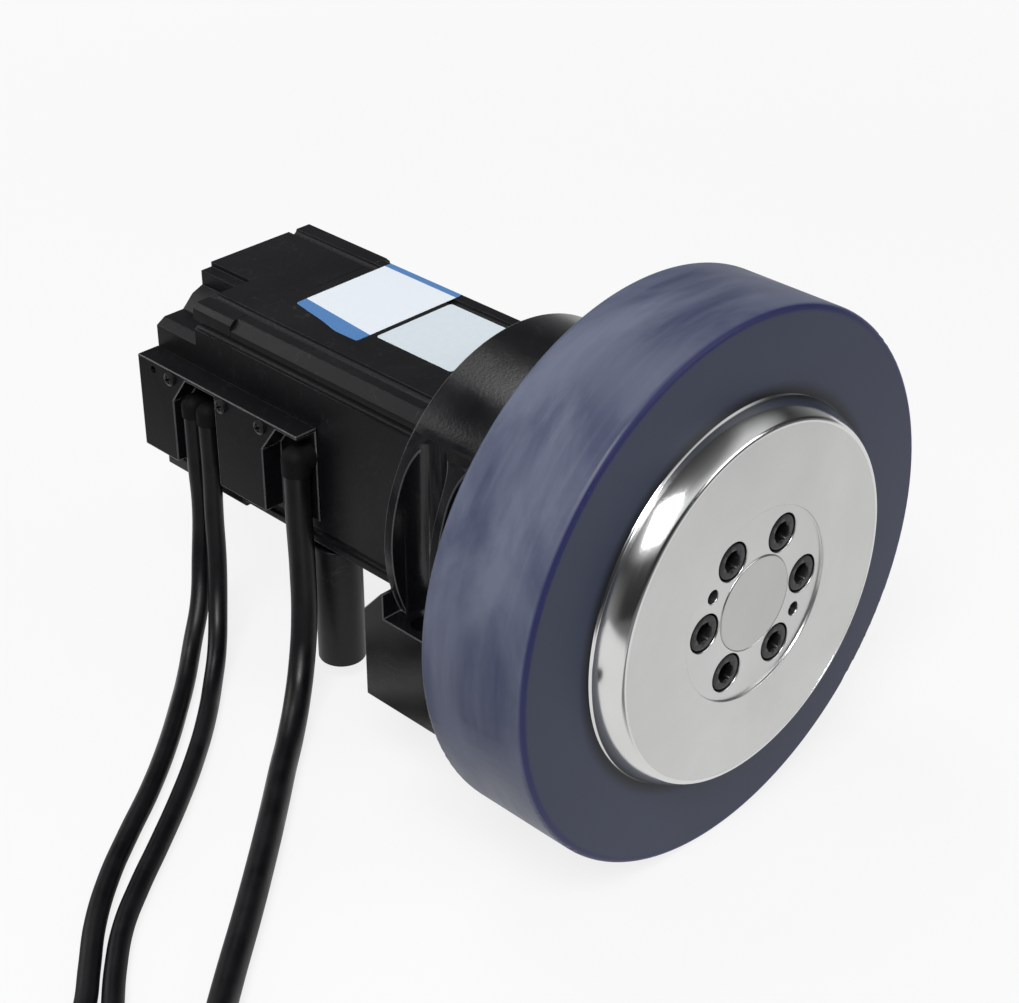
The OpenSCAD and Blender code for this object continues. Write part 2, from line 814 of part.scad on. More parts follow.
module power_cable() { color("black") cable(power_route, power_d); }
module encoder_cable() { color("black") cable(encoder_route, signal_d); }
module brake_cable() { color("black") cable(brake_route, signal_d); }
module power_plug() { color("dimgray") plug(power_route, power_plug_w, power_plug_h); }
module encoder_plug() { color("dimgray") plug(encoder_route, signal_plug_w, signal_plug_h); }
module brake_plug() { color("dimgray") plug(brake_route, signal_plug_w, signal_plug_h); }

module rest_posts() {
    color([0.13, 0.13, 0.14]) for (sx = [-1, 1])
        translate([sx * post_x, post_y, -half - post_len]) cylinder(h = post_len, d = post_d);
}

place() tyre();
place() wheel_hub();
place() hub_screws();
place() output_flange();
place() output_carrier();
place() carrier_pins();
place() main_bearing_inner();
place() main_bearing_balls();
place() main_bearing_outer();
place() output_seal();
place() bearing_nose();
place() nose_screws();
place() gear_housing();
place() ring_gear();
place() planet2_a();
place() planet2_b();
place() planet2_c();
place() sun2_gear();
place() stage1_carrier();
place() stage1_pins();
place() planet1_a();
place() planet1_b();
place() planet1_c();
place() sun1_gear();
place() motor_shaft();
place() rotor_core();
place() rotor_magnets();
place() brake_disc();
place() encoder_disc();
place() motor_flange();
place() flange_screws();
place() front_bearing();
place() motor_case();
place() stator_core();
place() windings();
place() rear_shield();
place() rear_bearing();
place() brake_coil();
place() rear_cover();
place() cover_screws();
place() encoder_board();
place() cable_box();
place() box_screws();
place() cable_grommets();
place() power_cable();
place() power_plug();
place() encoder_cable();
place() encoder_plug();
place() brake_cable();
place() brake_plug();
place() rest_posts();
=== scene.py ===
import json
import math
import bmesh
import bpy
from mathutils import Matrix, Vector

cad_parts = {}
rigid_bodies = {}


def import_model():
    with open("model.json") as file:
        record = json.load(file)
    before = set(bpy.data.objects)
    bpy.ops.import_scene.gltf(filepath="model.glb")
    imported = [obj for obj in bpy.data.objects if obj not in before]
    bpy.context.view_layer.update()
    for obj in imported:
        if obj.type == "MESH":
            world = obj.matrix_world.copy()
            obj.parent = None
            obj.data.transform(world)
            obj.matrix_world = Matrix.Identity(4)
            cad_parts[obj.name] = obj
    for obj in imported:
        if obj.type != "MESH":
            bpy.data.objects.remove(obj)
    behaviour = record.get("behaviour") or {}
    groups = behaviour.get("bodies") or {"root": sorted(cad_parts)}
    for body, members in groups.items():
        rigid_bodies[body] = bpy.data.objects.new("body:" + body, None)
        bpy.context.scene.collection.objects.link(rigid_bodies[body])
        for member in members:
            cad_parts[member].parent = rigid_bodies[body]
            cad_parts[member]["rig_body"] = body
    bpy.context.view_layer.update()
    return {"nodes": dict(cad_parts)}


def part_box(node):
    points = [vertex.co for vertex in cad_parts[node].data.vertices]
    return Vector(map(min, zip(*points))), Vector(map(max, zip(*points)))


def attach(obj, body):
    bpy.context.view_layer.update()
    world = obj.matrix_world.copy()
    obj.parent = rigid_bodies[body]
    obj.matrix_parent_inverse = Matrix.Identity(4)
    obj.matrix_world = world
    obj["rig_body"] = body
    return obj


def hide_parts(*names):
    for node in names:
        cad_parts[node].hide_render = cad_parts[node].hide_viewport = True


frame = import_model()
nodes = frame["nodes"]

# Studio: a pale floor that the tyre stands on, soft lamps round the unit, and the camera at the
# photograph's angle. The floor and the world show pale to the camera. In gloss they are graded by place,
# as in a room with bright screens and dark gaps, and the floor keeps a soft shadow.


def add(tree, kind, *values, settings=None, **inputs):
    """A node with its settings, and its inputs by place or by name, set or linked."""
    n = tree.nodes.new(kind)
    for key, value in (settings or {}).items():
        setattr(n, key, value)
    named = list(enumerate(values)) + [(k.replace("_", " "), v) for k, v in inputs.items()]
    for key, value in named:
        if isinstance(value, bpy.types.NodeSocket):
            tree.links.new(value, n.inputs[key])
        else:
            n.inputs[key].default_value = value
    return n


def calc(tree, operation, *values, clamp=False):
    """The result of one sum."""
    return add(tree, "ShaderNodeMath", *values, settings={"operation": operation, "use_clamp": clamp}).outputs[0]


def ranged(tree, value, low, high, to_low=0.0, to_high=1.0, eased=False):
    """A value brought from one range into another, and held at its ends."""
    settings = {"interpolation_type": "SMOOTHSTEP" if eased else "LINEAR"}
    return add(tree, "ShaderNodeMapRange", value, settings=settings, From_Min=low, From_Max=high,
               To_Min=to_low, To_Max=to_high).outputs[0]


def placed(name, data):
    """A new object in the scene."""
    obj = bpy.data.objects.new(name, data)
    bpy.context.scene.collection.objects.link(obj)
    return obj


pale = (0.955, 0.956, 0.958, 1)
floor_half = 6
floor_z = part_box("tyre")[0].z
floor_mesh = bpy.data.meshes.new("floor")
floor_mesh.from_pydata([(x * floor_half, y * floor_half, floor_z) for x, y in ((-1, -1), (1, -1), (1, 1), (-1, 1))],
                       [], [(0, 1, 2, 3)])
floor = placed("floor", floor_mesh)
floor_paint = bpy.data.materials.new("pale_floor")
floor_paint.use_nodes = True
t = floor_paint.node_tree
t.nodes.clear()
spot = add(t, "ShaderNodeTexCoord").outputs["Object"]
cloud = add(t, "ShaderNodeTexNoise", Vector=spot, Scale=1.5, Detail=2.0)
dull = add(t, "ShaderNodeBsdfDiffuse", Color=ranged(t, cloud.outputs["Fac"], 0.0, 1.0, 0.86, 0.9))
at = add(t, "ShaderNodeSeparateXYZ", spot).outputs
front = ranged(t, at["Y"], -0.28, -0.44, 0.9, 0.15, eased=True)
left = ranged(t, at["X"], -0.075, -0.19, 0.0, 0.94, eased=True)
beside = ranged(t, at["Y"], -0.08, 0.05, eased=True)
off_gap = calc(t, "ABSOLUTE", calc(t, "ADD", at["X"], 0.07))
across = ranged(t, off_gap, 0.04, 0.07, 1.0, 0.0)
along = ranged(t, at["Y"], -0.14, -0.19, 0.0, 0.85)
mirrored = front
for first, second in ((left, beside), (across, along)):
    dark = calc(t, "MULTIPLY", first, second)
    mirrored = calc(t, "MULTIPLY", mirrored, calc(t, "SUBTRACT", 1.0, dark))
path = add(t, "ShaderNodeLightPath").outputs
lit = calc(t, "MAXIMUM", path["Is Camera Ray"], mirrored)
glow = add(t, "ShaderNodeEmission", Color=pale, Strength=lit)
camera_or_gloss = calc(t, "MAXIMUM", path["Is Camera Ray"], path["Is Glossy Ray"])
seen = calc(t, "MAXIMUM", camera_or_gloss, path["Is Transmission Ray"])
away = add(t, "ShaderNodeVectorMath", spot, settings={"operation": "LENGTH"})
shadeless = ranged(t, away.outputs["Value"], 0.4, 1.1, 0.86, 1.0, eased=True)
floor_mix = add(t, "ShaderNodeMixShader", calc(t, "MULTIPLY", seen, shadeless), dull.outputs[0], glow.outputs[0])
add(t, "ShaderNodeOutputMaterial", Surface=floor_mix.outputs[0])
floor_mesh.materials.append(floor_paint)

world = bpy.data.worlds.new("studio")
world.use_nodes = True
t = world.node_tree
t.nodes.clear()
way = add(t, "ShaderNodeSeparateXYZ", add(t, "ShaderNodeTexCoord").outputs["Generated"]).outputs
behind = ranged(t, way["Z"], 0.0, 0.45, 0.4, 0.05)
before = add(t, "ShaderNodeValToRGB", way["Z"])
stops = ((0.0, 0.03), (0.48, 0.04), (0.6, 0.5), (0.7, 0.8), (0.82, 0.8), (0.92, 0.2), (1.0, 0.1))
while len(before.color_ramp.elements) < len(stops):
    before.color_ramp.elements.new(0.5)
for element, (height, level) in zip(before.color_ramp.elements, stops):
    element.position = height
    element.color = (level, level, level, 1)
to_front = ranged(t, way["Y"], 0.1, -0.3)
level = add(t, "ShaderNodeMix", to_front, settings={"data_type": "FLOAT"})
t.links.new(behind, level.inputs[2])
t.links.new(before.outputs[0], level.inputs[3])
room = add(t, "ShaderNodeBackground", Color=(0.97, 0.985, 1.0, 1), Strength=level.outputs[0])
backdrop = add(t, "ShaderNodeBackground", Color=pale, Strength=1.0)
path = add(t, "ShaderNodeLightPath").outputs
seen = calc(t, "MAXIMUM", path["Is Camera Ray"], path["Is Transmission Ray"])
sky = add(t, "ShaderNodeMixShader", seen, room.outputs[0], backdrop.outputs[0])
add(t, "ShaderNodeOutputWorld", Surface=sky.outputs[0])
bpy.context.scene.world = world

lamp_aim = Vector((0, 0.03, 0.06))
for name, place, size, watts in (
        ("key_lamp", (-1.1, -0.7, 1.7), 0.8, 34),
        ("front_lamp", (0.9, -1.7, 0.9), 1.0, 9),
        ("back_lamp", (0.1, 0.9, 2.1), 1.0, 14),
        ("rear_lamp", (-0.7, 1.7, 0.9), 1.0, 7)):
    lamp = bpy.data.lights.new(name, "AREA")
    lamp.size = size
    lamp.energy = watts
    holder = placed(name, lamp)
    holder.location = place
    holder.rotation_euler = (lamp_aim - Vector(place)).to_track_quat("-Z", "Y").to_euler()

camera_data = bpy.data.cameras.new("camera")
camera_data.sensor_width = 36
camera_data.lens = 77.69
camera = placed("camera", camera_data)
camera.location = (-0.4816, -0.4511, 0.4655)
camera_aim = Vector((-0.10467, -0.077, 0.14354))
camera.rotation_euler = (camera_aim - camera.location).to_track_quat("-Z", "Y").to_euler()
bpy.context.scene.camera = camera
bpy.context.scene.view_settings.view_transform = "Standard"

# Painted castings: gear housing with its foot, bearing nose, motor flange, motor case, rear cover and
# rest posts. Cast and machined aluminium under a satin black coat, with every edge broken.


def skin_group():
    """Fine grain, slow smears and thin scuff lines, which most finishes of this unit share."""
    g = bpy.data.node_groups.new("skin", "ShaderNodeTree")
    g.interface.new_socket("Vector", in_out="INPUT", socket_type="NodeSocketVector")
    for name, value in (("Grain Scale", 900.0), ("Smear Scale", 22.0), ("Scuff Scale", 30.0)):
        g.interface.new_socket(name, in_out="INPUT", socket_type="NodeSocketFloat").default_value = value
    for name in ("Grain", "Smear", "Scuff"):
        g.interface.new_socket(name, in_out="OUTPUT", socket_type="NodeSocketFloat")
    enter = add(g, "NodeGroupInput").outputs
    grain = add(g, "ShaderNodeTexNoise", Vector=enter["Vector"], Scale=enter["Grain Scale"], Detail=2.0)
    cloud = add(g, "ShaderNodeTexNoise", Vector=enter["Vector"], Scale=enter["Smear Scale"], Detail=5.0,
                Roughness=0.6, Distortion=0.4)
    smear = ranged(g, cloud.outputs["Fac"], 0.35, 0.7)
    lines = add(g, "ShaderNodeTexNoise", Vector=enter["Vector"], Scale=enter["Scuff Scale"], Detail=3.0,
                Distortion=2.5)
    off_line = calc(g, "ABSOLUTE", calc(g, "SUBTRACT", lines.outputs["Fac"], 0.5))
    scuff = calc(g, "MULTIPLY", ranged(g, off_line, 0.0, 0.006, 1.0, 0.0), smear)
    add(g, "NodeGroupOutput", grain.outputs["Fac"], smear, scuff)
    return g


skin = skin_group()


def skinned(t, spot, grain_scale, smear_scale, scuff_scale):
    """The masks of the shared skin at this finish's scales."""
    return add(t, "ShaderNodeGroup", settings={"node_tree": skin}, Vector=spot, Grain_Scale=grain_scale,
               Smear_Scale=smear_scale, Scuff_Scale=scuff_scale).outputs


def finish_of(name):
    """A new material and the parts that each finish starts from: tree, shader, object coordinates."""
    m = bpy.data.materials.new(name)
    m.use_nodes = True
    t = m.node_tree
    t.nodes.clear()
    shader = add(t, "ShaderNodeBsdfPrincipled")
    add(t, "ShaderNodeOutputMaterial", Surface=shader.outputs[0])
    return m, t, shader, add(t, "ShaderNodeTexCoord").outputs["Object"]


def bumped(t, shader, height, depth):
    b = add(t, "ShaderNodeBump", Strength=1.0, Distance=depth, Height=height)
    t.links.new(b.outputs[0], shader.inputs["Normal"])


def roughened(t, shader, mask, low, high):
    t.links.new(ranged(t, mask, 0.0, 1.0, low, high), shader.inputs["Roughness"])


def blended(t, mask, first, second):
    m = add(t, "ShaderNodeMix", mask, settings={"data_type": "RGBA"})
    for place, value in ((6, first), (7, second)):
        if isinstance(value, bpy.types.NodeSocket):
            t.links.new(value, m.inputs[place])
        else:
            m.inputs[place].default_value = value
    return m.outputs[2]


def coat_finish(name, dark, dusty, rough, grain_depth, grain_scale=900.0, mirror=0.2):
    """Paint, lacquer or moulded plastic with dust in its smears and a few pale scuffs."""
    m, t, shader, spot = finish_of(name)
    s = skinned(t, spot, grain_scale, 26.0, 34.0)
    base = blended(t, calc(t, "MULTIPLY", s["Smear"], 0.5), (*dark, 1), (*dusty, 1))
    worn = calc(t, "MULTIPLY", s["Scuff"], 0.35)
    t.links.new(blended(t, worn, base, (0.06, 0.06, 0.062, 1)), shader.inputs["Base Color"])
    roughened(t, shader, s["Smear"], rough - 0.05, rough + 0.09)
    shader.inputs["Specular IOR Level"].default_value = mirror
    bumped(t, shader, s["Grain"], grain_depth)
    return m


def softened(node, width, steps=2, least=0.0):
    """A copy of a CAD node's mesh with its points merged, its flat faces whole and its edges broken, apart from
    those that are shorter than the least length, such as the rims of small holes."""
    merge_within, sliver = 2e-6, 1e-6
    flat_to, sharp_from, smooth_to = math.radians(0.4), math.radians(28), math.radians(40)
    bm = bmesh.new()
    bm.from_mesh(nodes[node].data)
    bmesh.ops.remove_doubles(bm, verts=bm.verts, dist=merge_within)
    bmesh.ops.dissolve_limit(bm, angle_limit=flat_to, verts=bm.verts, edges=bm.edges)
    sharp = [e for e in bm.edges if len(e.link_faces) == 2 and e.calc_face_angle(0) > sharp_from
             and e.calc_length() >= least]
    broken = bmesh.ops.bevel(bm, geom=sharp, offset=width, segments=steps, profile=0.5, affect="EDGES",
                             clamp_overlap=True)
    for face in broken["faces"]:
        face.material_index = 1
    bmesh.ops.dissolve_degenerate(bm, dist=sliver, edges=bm.edges)
    mesh = bpy.data.meshes.new(node + "_finished")
    bm.to_mesh(mesh)
    bm.free()
    mesh.polygons.foreach_set("use_smooth", [True] * len(mesh.polygons))
    mesh.set_sharp_from_angle(angle=smooth_to)
    piece = placed(node + "_finished", mesh)
    even = piece.modifiers.new("even", "WEIGHTED_NORMAL")
    even.keep_sharp = True
    return piece


def fitted(piece, node, material, edge=None):
    """The piece takes the node's place and body, with a finish of their own for its broken edges. Clearing
    would also reset which faces are edges, so it is done only where a tree has set a material."""
    if len(piece.data.materials):
        piece.data.materials.clear()
    piece.data.materials.append(material)
    piece.data.materials.append(edge or material)
    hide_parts(node)
    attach(piece, nodes[node]["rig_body"])


def coated(material, *names):
    """CAD nodes whose shape is right take a better finish."""
    for name in names:
        nodes[name].data.materials.clear()
        nodes[name].data.materials.append(material)


housing_coat = coat_finish("housing_coat", (0.004, 0.004, 0.005), (0.007, 0.007, 0.008), 0.22, 0.00003, mirror=0.5)
motor_coat = coat_finish("motor_coat", (0.003, 0.003, 0.004), (0.0055, 0.0053, 0.0065), 0.4, 0.00004, 700.0, 0.3)
# Finish for the broken edges of the housing, nose and cable box: stronger gloss, and a lighter base colour that is a
# painted highlight along the edges.
painted_highlight_edge = coat_finish("painted_highlight_edge", (0.035, 0.035, 0.037), (0.07, 0.07, 0.072), 0.26, 0.00002, mirror=0.9)
hole_edge = 0.0012
for node in ("gear_housing", "bearing_nose"):
    fitted(softened(node, 0.0005, least=hole_edge), node, housing_coat, painted_highlight_edge)
for node, width in (("motor_flange", 0.0004), ("motor_case", 0.0005), ("rear_cover", 0.0005)):
    fitted(softened(node, width, least=hole_edge), node, motor_coat)
fitted(softened("rest_posts", 0.0008), "rest_posts", motor_coat)

# Blackened and plated screws that hold the nose, the rear cover and the motor flange. Turned steel with
# socket heads.


def screw_finish(name, colour, metal, rough):
    m, t, shader, spot = finish_of(name)
    s = skinned(t, spot, 2500.0, 120.0, 200.0)
    lighter = tuple(min(1, c * 1.6 + 0.01) for c in colour)
    t.links.new(blended(t, s["Smear"], (*colour, 1), (*lighter, 1)), shader.inputs["Base Color"])
    shader.inputs["Metallic"].default_value = metal
    roughened(t, shader, s["Smear"], rough - 0.06, rough + 0.1)
    bumped(t, shader, s["Grain"], 0.00001)
    return m


blackened = screw_finish("blackened_screw", (0.006, 0.006, 0.006), 0.3, 0.34)
plated = screw_finish("plated_screw", (0.42, 0.42, 0.42), 1.0, 0.3)
coated(blackened, "nose_screws", "cover_screws")
coated(plated, "flange_screws")

# Gear train, bearings and cores inside the housing and the motor: hobbed gears of oiled alloy steel, ground
# pins and bearings of brighter steel, stacked iron cores and a cast shield.


def steel_finish(name, dark, bright, rough, cut_scale):
    m, t, shader, spot = finish_of(name)
    s = skinned(t, spot, cut_scale, 40.0, 60.0)
    t.links.new(blended(t, s["Smear"], (*dark, 1), (*bright, 1)), shader.inputs["Base Color"])
    shader.inputs["Metallic"].default_value = 1.0
    roughened(t, shader, s["Grain"], rough - 0.1, rough + 0.1)
    bumped(t, shader, s["Grain"], 0.00002)
    return m


cut_steel = steel_finish("cut_steel", (0.3, 0.3, 0.31), (0.42, 0.42, 0.43), 0.38, 1200.0)
ground_steel = steel_finish("ground_steel", (0.5, 0.5, 0.5), (0.62, 0.62, 0.62), 0.24, 2200.0)
core_iron = steel_finish("core_iron", (0.16, 0.16, 0.17), (0.24, 0.24, 0.25), 0.5, 3000.0)
cast_alloy = steel_finish("cast_alloy", (0.5, 0.5, 0.51), (0.64, 0.64, 0.65), 0.45, 500.0)
coated(cut_steel, "ring_gear", "planet2_a", "planet2_b", "planet2_c", "planet1_a", "planet1_b", "planet1_c",
       "sun2_gear", "sun1_gear", "stage1_carrier", "output_carrier")
coated(ground_steel, "carrier_pins", "stage1_pins", "main_bearing_inner", "main_bearing_balls",
       "main_bearing_outer", "front_bearing", "rear_bearing", "motor_shaft")
coated(core_iron, "rotor_core", "stator_core", "brake_coil", "rotor_magnets")
coated(cast_alloy, "rear_shield")

# Windings, brake lining, encoder disc and board inside the motor: varnished copper wire, pressed
# friction material, clear glass and a green lacquered board.
copper, t, shader, spot = finish_of("varnished_copper")
turns = add(t, "ShaderNodeTexWave", settings={"bands_direction": "Y"}, Vector=spot, Scale=260.0,
            Distortion=3.0).outputs["Fac"]
t.links.new(blended(t, turns, (0.3, 0.1, 0.03, 1), (0.62, 0.27, 0.1, 1)), shader.inputs["Base Color"])
shader.inputs["Metallic"].default_value = 0.8
shader.inputs["Roughness"].default_value = 0.3
bumped(t, shader, turns, 0.0003)
coated(copper, "windings")
lining = coat_finish("friction_lining", (0.09, 0.08, 0.055), (0.14, 0.13, 0.1), 0.8, 0.0001, 1500.0)
coated(lining, "brake_disc")
board = coat_finish("board_lacquer", (0.01, 0.12, 0.05), (0.02, 0.16, 0.07), 0.4, 0.00002, 1500.0)
coated(board, "encoder_board")
clear, t, shader, spot = finish_of("encoder_glass")
lines = add(t, "ShaderNodeTexNoise", Vector=spot, Scale=400.0)
roughened(t, shader, lines.outputs["Fac"], 0.03, 0.12)
shader.inputs["Base Color"].default_value = (0.85, 0.9, 0.92, 1)
shader.inputs["Transmission Weight"].default_value = 1.0
coated(clear, "encoder_disc")

# Seal and cable grommets: black nitrile, moulded, with a dull bloom.


def rubber_finish(name, dark, bloom, rough, grain_scale, grain_depth, mirror):
    m, t, shader, spot = finish_of(name)
    s = skinned(t, spot, grain_scale, 60.0, 90.0)
    t.links.new(blended(t, s["Smear"], (*dark, 1), (*bloom, 1)), shader.inputs["Base Color"])
    roughened(t, shader, s["Smear"], rough - 0.05, rough + 0.1)
    shader.inputs["Specular IOR Level"].default_value = mirror
    bumped(t, shader, s["Grain"], grain_depth)
    return m


nitrile = rubber_finish("nitrile", (0.003, 0.003, 0.0035), (0.005, 0.005, 0.0055), 0.65, 1500.0, 0.00003, 0.12)
coated(nitrile, "output_seal")
fitted(softened("cable_grommets", 0.0002, 1), "cable_grommets", nitrile)

# Labels on the motor's flat top: a white paper sticker with a blue band at either end, and a pale grey
# plate. Both are left bare.
case_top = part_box("motor_case")[1].z


def label(name, corners, rounding, material):
    """A thin sheet with rounded corners, stuck on the motor's top."""
    thick, wall, chamfer, arc_steps = 0.00012, 0.00012 * 0.6, 0.00006, 6
    ring = []
    for i, here in enumerate(corners):
        here = Vector(here)
        before, after = Vector(corners[i - 1]), Vector(corners[(i + 1) % len(corners)])
        start = here + (before - here).normalized() * rounding
        end = here + (after - here).normalized() * rounding
        for k in range(arc_steps + 1):
            f = k / arc_steps
            ring.append(start * (1 - f) ** 2 + here * 2 * f * (1 - f) + end * f ** 2)
    n = len(ring)
    middle = sum(ring, Vector((0, 0))) / n
    points = [(*p, case_top) for p in ring] + [(*p, case_top + wall) for p in ring]
    points += [(*(p + (middle - p).normalized() * chamfer), case_top + thick) for p in ring]
    faces = [tuple(range(n))[::-1], tuple(range(2 * n, 3 * n))]
    for row in (0, n):
        faces += [(row + i, row + (i + 1) % n, row + n + (i + 1) % n, row + n + i) for i in range(n)]
    mesh = bpy.data.meshes.new(name)
    mesh.from_pydata(points, [], faces)
    mesh.materials.append(material)
    piece = placed(name, mesh)
    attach(piece, "frame")


paper, t, shader, spot = finish_of("banded_paper")
at = add(t, "ShaderNodeSeparateXYZ", spot).outputs
skewed = calc(t, "SUBTRACT", at["X"], calc(t, "MULTIPLY", at["Y"], 0.0904))
near_band = ranged(t, skewed, -0.0187, -0.0188)
far_band = ranged(t, at["X"], 0.0325, 0.0326)
band = calc(t, "MAXIMUM", near_band, far_band)
fibre = add(t, "ShaderNodeTexNoise", Vector=spot, Scale=700.0, Detail=3.0).outputs["Fac"]
white = blended(t, fibre, (0.72, 0.77, 0.82, 1), (0.76, 0.8, 0.85, 1))
blue = blended(t, fibre, (0.072, 0.19, 0.43, 1), (0.085, 0.215, 0.46, 1))
t.links.new(blended(t, band, white, blue), shader.inputs["Base Color"])
roughened(t, shader, fibre, 0.3, 0.45)
bumped(t, shader, fibre, 0.00002)
label("banded_sticker", [(0.0358, 0.127), (-0.0125, 0.1267), (-0.0152, 0.1095), (-0.0176, 0.099), (-0.0174, 0.0875),
                         (0.0358, 0.0875)], 0.0012, paper)
foil, t, shader, spot = finish_of("pale_foil")
fibre = add(t, "ShaderNodeTexNoise", Vector=spot, Scale=500.0, Detail=3.0).outputs["Fac"]
t.links.new(blended(t, fibre, (0.58, 0.65, 0.7, 1), (0.66, 0.72, 0.76, 1)), shader.inputs["Base Color"])
roughened(t, shader, fibre, 0.3, 0.42)
bumped(t, shader, fibre, 0.00001)
label("pale_plate", [(0.0277, 0.085), (-0.0101, 0.085), (-0.0101, 0.046), (0.0277, 0.046)], 0.0015, foil)

# Cable box: a cast and painted cover over the motor's terminals, with notches for the cables, held by
# three blackened cross-head screws.
box_coat = coat_finish("box_coat", (0.004, 0.004, 0.005), (0.007, 0.007, 0.008), 0.36, 0.00003, 1000.0, 0.12)
# The box's broken edges take the lighter edge finish, a painted highlight.
fitted(softened("cable_box", 0.0005, least=hole_edge), "cable_box", box_coat, painted_highlight_edge)


def cross_screw_tree():
    """A pan head with a cross cut in it, facing -X, set at each point of the mesh that goes in."""
    g = bpy.data.node_groups.new("cross_screws", "GeometryNodeTree")
    g.interface.new_socket("Geometry", in_out="INPUT", socket_type="NodeSocketGeometry")
    for name in ("Head Radius", "Head Height", "Slot Width", "Slot Length", "Slot Depth"):
        g.interface.new_socket(name, in_out="INPUT", socket_type="NodeSocketFloat")
    g.interface.new_socket("Finish", in_out="INPUT", socket_type="NodeSocketMaterial")
    g.interface.new_socket("Geometry", in_out="OUTPUT", socket_type="NodeSocketGeometry")
    enter = add(g, "NodeGroupInput").outputs
    height = enter["Head Height"]
    rim = add(g, "GeometryNodeMeshCylinder", Vertices=40, Radius=enter["Head Radius"], Depth=height).outputs
    raised = add(g, "GeometryNodeExtrudeMesh", Mesh=rim["Mesh"], Selection=rim["Top"],
                 Offset_Scale=calc(g, "MULTIPLY", height, 0.45)).outputs
    head = add(g, "GeometryNodeScaleElements", Geometry=raised["Mesh"], Selection=raised["Top"], Scale=0.62)
    cut = add(g, "GeometryNodeMeshBoolean", settings={"operation": "DIFFERENCE"})
    g.links.new(head.outputs[0], cut.inputs["Mesh 1"])
    top_at = add(g, "ShaderNodeCombineXYZ", 0.0, 0.0, calc(g, "MULTIPLY", height, 0.95))
    for first, second, deep in (("Slot Length", "Slot Width", 2.0), ("Slot Width", "Slot Length", 1.94)):
        depth = calc(g, "MULTIPLY", enter["Slot Depth"], deep)
        size = add(g, "ShaderNodeCombineXYZ", enter[first], enter[second], depth)
        bar = add(g, "GeometryNodeMeshCube", size.outputs[0])
        lifted = add(g, "GeometryNodeTransform", Geometry=bar.outputs["Mesh"], Translation=top_at.outputs[0])
        g.links.new(lifted.outputs[0], cut.inputs["Mesh 2"])
    clean = add(g, "GeometryNodeMergeByDistance", Geometry=cut.outputs["Mesh"], Distance=0.00002)
    spun = add(g, "GeometryNodeTransform", Geometry=clean.outputs[0], Rotation=(0, 0, math.radians(28)))
    turned = add(g, "GeometryNodeTransform", Geometry=spun.outputs[0], Rotation=(0, math.radians(-90), 0))
    each = add(g, "GeometryNodeInstanceOnPoints", Points=enter["Geometry"], Instance=turned.outputs[0])
    real = add(g, "GeometryNodeRealizeInstances", each.outputs[0])
    done = add(g, "GeometryNodeSetMaterial", Geometry=real.outputs[0], Material=enter["Finish"])
    add(g, "NodeGroupOutput", done.outputs[0])
    return g


def grown(name, points, tree, sizes):
    """A plain mesh of what a tree makes at these points."""
    mesh = bpy.data.meshes.new(name + "_points")
    mesh.from_pydata(points, [], [])
    seedling = placed(name + "_points", mesh)
    change = seedling.modifiers.new("grow", "NODES")
    change.node_group = tree
    for item in tree.interface.items_tree:
        if item.in_out == "INPUT" and item.name in sizes:
            change[item.identifier] = sizes[item.name]
    ready = seedling.evaluated_get(bpy.context.evaluated_depsgraph_get())
    piece = placed(name, bpy.data.meshes.new_from_object(ready))
    bpy.data.objects.remove(seedling)
    return piece


screw_low, screw_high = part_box("box_screws")
pan_r, pan_h, middle_screw_y = 0.0028, 0.001, 0.1275
screw_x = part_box("cable_box")[0].x - pan_h / 2
screw_z = (screw_low.z + screw_high.z) / 2
screw_spots = [(screw_x, y, screw_z) for y in (screw_low.y + pan_r, middle_screw_y, screw_high.y - pan_r)]
cross_screws = grown("cross_screws", screw_spots, cross_screw_tree(),
                     {"Head Radius": pan_r, "Head Height": pan_h, "Slot Width": 0.0008, "Slot Length": 0.0034,
                      "Slot Depth": 0.0012, "Finish": blackened})
fitted(cross_screws, "box_screws", blackened)

# Cables: power, encoder and brake leads with a satin black jacket. Each comes out of its grommet, drops to
# the floor and runs along it to its plug. Points are in mm from the exit's foot on the floor.
jacket = rubber_finish("cable_jacket", (0.003, 0.003, 0.004), (0.006, 0.006, 0.007), 0.36, 1400.0, 0.00002, 0.3)
leads = {
    "power": ((-0.0465, 0.090), 0.010, 0.286, [
        (0, 0, 96), (0, 0, 75), (-0.5, -1, 55), (-3.5, -4, 36), (-9.5, -8.5, 21), (-18.5, -15.5, 11),
        (-29.5, -24.5, 6), (-43.5, -36.5, 5), (-63.5, -54.5, 5), (-83.5, -72, 5), (-103.5, -89, 5),
        (-123.5, -105.5, 5), (-138.5, -118.5, 6), (-148.5, -128, 8.5), (-155.5, -135, 9), (-162.5, -142, 9)]),
    "encoder": ((-0.046, 0.151), 0.0075, 0.344, [
        (0, 0, 96), (0, 0, 75), (-0.5, -1, 55), (-4, -3, 36), (-11, -9, 20), (-21.5, -16.5, 9),
        (-32.5, -26.5, 4.5), (-47.5, -40.5, 3.75), (-66, -57, 3.75), (-85.5, -72.5, 3.75), (-106, -87, 3.75),
        (-124, -100.5, 3.75), (-141, -116, 3.75), (-155, -132, 3.75), (-166, -145, 4.5), (-177, -155.5, 6),
        (-190, -163.5, 7), (-202, -169, 7), (-210, -172.5, 7)]),
    "brake": ((-0.046, 0.142), 0.0075, 0.320, [
        (0, 0, 96), (0, 0, 75), (-1, -0.5, 55), (-3.5, -3.5, 37), (-9, -9, 21), (-18, -18.5, 10),
        (-29, -29, 4.5), (-43, -43, 3.75), (-62, -60, 3.75), (-81, -75, 3.75), (-101, -89.5, 3.75),
        (-119.5, -102.5, 3.75), (-135.5, -115, 3.75), (-149, -129, 3.75), (-160, -142.5, 4.5),
        (-170, -156, 6.5), (-176, -164, 7), (-181, -170.5, 7)]),
}
moulded = coat_finish("plug_moulding", (0.014, 0.014, 0.015), (0.022, 0.022, 0.024), 0.45, 0.00004)
